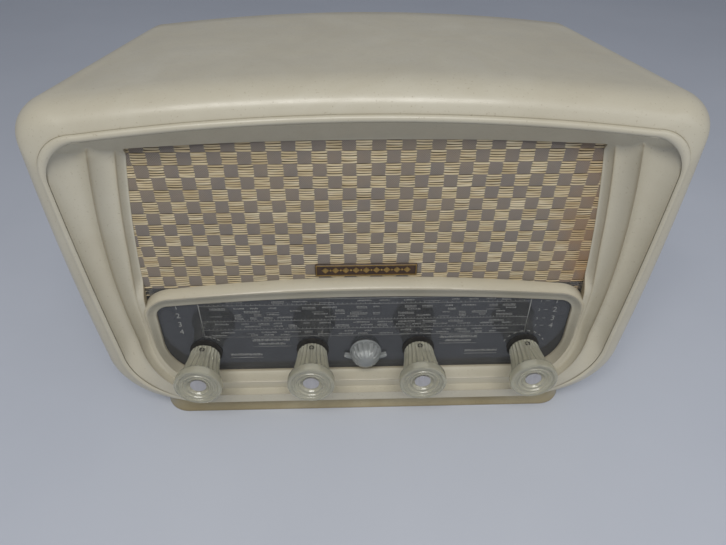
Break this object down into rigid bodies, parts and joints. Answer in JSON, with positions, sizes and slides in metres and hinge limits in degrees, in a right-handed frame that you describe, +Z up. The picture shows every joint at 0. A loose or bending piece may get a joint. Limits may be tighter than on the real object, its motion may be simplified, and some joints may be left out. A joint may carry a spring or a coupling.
{
  "type": "bakelite table radio",
  "caption": "Cream moulded table radio with woven speaker cloth, fluted wings, a dark lit dial, clear fluted knobs, and its chassis, drive and speaker inside.",
  "frame": {"origin": "on the table, under the middle of the set from the knob faces to the rear edge", "axes": "+Z up, front towards -Y, +X to the right seen from the front"},
  "size_m": [0.3784, 0.186, 0.254],
  "materials": {
    "bakelite": "moulded, satin gloss",
    "plinth": "moulded, satin gloss",
    "cloth": "woven straw and grey thread",
    "board": "pressed board",
    "badge": "aged, dark ground",
    "glass": "printed on the back",
    "felt": "felt",
    "acrylic": "clear moulded acrylic",
    "jewel": "clear ribbed lens",
    "steel": "cadmium plated",
    "dial_paint": "matt dark",
    "cord": "waxed thread",
    "pointer": "cream enamel",
    "brass": "turned",
    "aluminium": "satin",
    "silver": "bright satin",
    "phenolic": "laminate",
    "black": "moulded",
    "rubber": "soft",
    "ferrite": "sintered",
    "cone": "pressed pulp",
    "iron": "lacquered",
    "valve_glass": "clear",
    "hardboard": "pressed board",
    "lamp": "clear"
  },
  "bodies": {
    "radio": {"cabinet": "bakelite", "plinth": "plinth", "speaker_cloth": "cloth", "baffle_board": "board", "badge": "badge", "dial_glass": "glass", "felt_washers": "felt", "jewel": "jewel", "dial_backplate": "dial_paint", "pointer_rail": "steel", "dial_cord": "cord", "volume_control": "phenolic", "shaft_bushes": "brass", "band_switch": "phenolic", "chassis": "steel", "chassis_pads": "rubber", "chassis_screws": "steel", "gang_frame": "steel", "gang_stator": "aluminium", "speaker_frame": "iron", "speaker_cone": "cone", "speaker_magnet": "iron", "speaker_screws": "steel", "small_valves": "valve_glass", "output_valve": "valve_glass", "rectifier_valve": "valve_glass", "valve_electrodes": "steel", "valve_sockets": "black", "mains_core": "iron", "mains_winding": "phenolic", "output_transformer": "iron", "smoothing_can": "aluminium", "if_cans": "aluminium", "coil_formers": "phenolic", "dial_lamps": "lamp", "lamp_holders": "brass", "rear_cover": "hardboard", "rear_screws": "steel", "socket_strip": "phenolic", "cord_grommet": "rubber"},
    "pointer": {"pointer": "pointer"},
    "left_pulley": {"pulley_left": "brass"},
    "right_pulley": {"pulley_right": "brass"},
    "drum": {"drive_drum": "aluminium", "gang_rotor": "aluminium"},
    "volume_knob": {"knob_volume": "acrylic", "disc_volume": "silver", "volume_shaft": "steel"},
    "tuning_knob": {"knob_tuning": "acrylic", "disc_tuning": "silver", "tuning_spindle": "steel"},
    "aerial_knob": {"knob_aerial": "acrylic", "disc_aerial": "silver", "aerial_shaft": "steel"},
    "band_knob": {"knob_band": "acrylic", "disc_band": "silver", "band_shaft": "steel"},
    "aerial": {"aerial_spindle": "phenolic", "ferrite_rod": "ferrite"}
  },
  "joints": [
    {"name": "drum_turn", "type": "hinge", "parent": "radio", "child": "drum", "pos_m": [0.07615, -0.0423, 0.112], "axis": [0, -1, 0], "range_deg": [-66, 114]},
    {"name": "pointer_slide", "type": "slide", "parent": "radio", "child": "pointer", "axis": [1, 0, 0], "range_m": [-0.0697, 0.1202]},
    {"name": "tuning_turn", "type": "hinge", "parent": "radio", "child": "tuning_knob", "pos_m": [-0.03807, -0.0588, 0.0556], "axis": [0, 1, 0], "range_deg": [-800, 1380]},
    {"name": "left_pulley_turn", "type": "hinge", "parent": "radio", "child": "left_pulley", "pos_m": [-0.128, -0.0458, 0.1056], "axis": [0, 1, 0], "range_deg": [-630, 1080]},
    {"name": "right_pulley_turn", "type": "hinge", "parent": "radio", "child": "right_pulley", "pos_m": [0.146, -0.0458, 0.1184], "axis": [0, -1, 0], "range_deg": [-630, 1080]},
    {"name": "volume_turn", "type": "hinge", "parent": "radio", "child": "volume_knob", "pos_m": [-0.11422, -0.0588, 0.0556], "axis": [0, 1, 0], "range_deg": [-140, 140]},
    {"name": "band_turn", "type": "hinge", "parent": "radio", "child": "band_knob", "pos_m": [0.11422, -0.0588, 0.0556], "axis": [0, 1, 0], "range_deg": [-60, 60]},
    {"name": "aerial_turn", "type": "hinge", "parent": "radio", "child": "aerial", "pos_m": [0.03807, 0.024, 0.1], "axis": [0, 0, 1], "range_deg": [-90, 90]},
    {"name": "aerial_knob_turn", "type": "hinge", "parent": "radio", "child": "aerial_knob", "pos_m": [0.03807, -0.0588, 0.0556], "axis": [0, 1, 0], "range_deg": [-90, 90]}
  ],
  "couplings": [
    {"joint": "pointer_slide", "follows": "drum_turn", "m_per_rad": 0.0603},
    {"joint": "tuning_turn", "follows": "drum_turn", "ratio": 12.06},
    {"joint": "left_pulley_turn", "follows": "drum_turn", "ratio": 9.4219},
    {"joint": "right_pulley_turn", "follows": "drum_turn", "ratio": 9.4219},
    {"joint": "aerial_knob_turn", "follows": "aerial_turn", "ratio": 1}
  ]
}
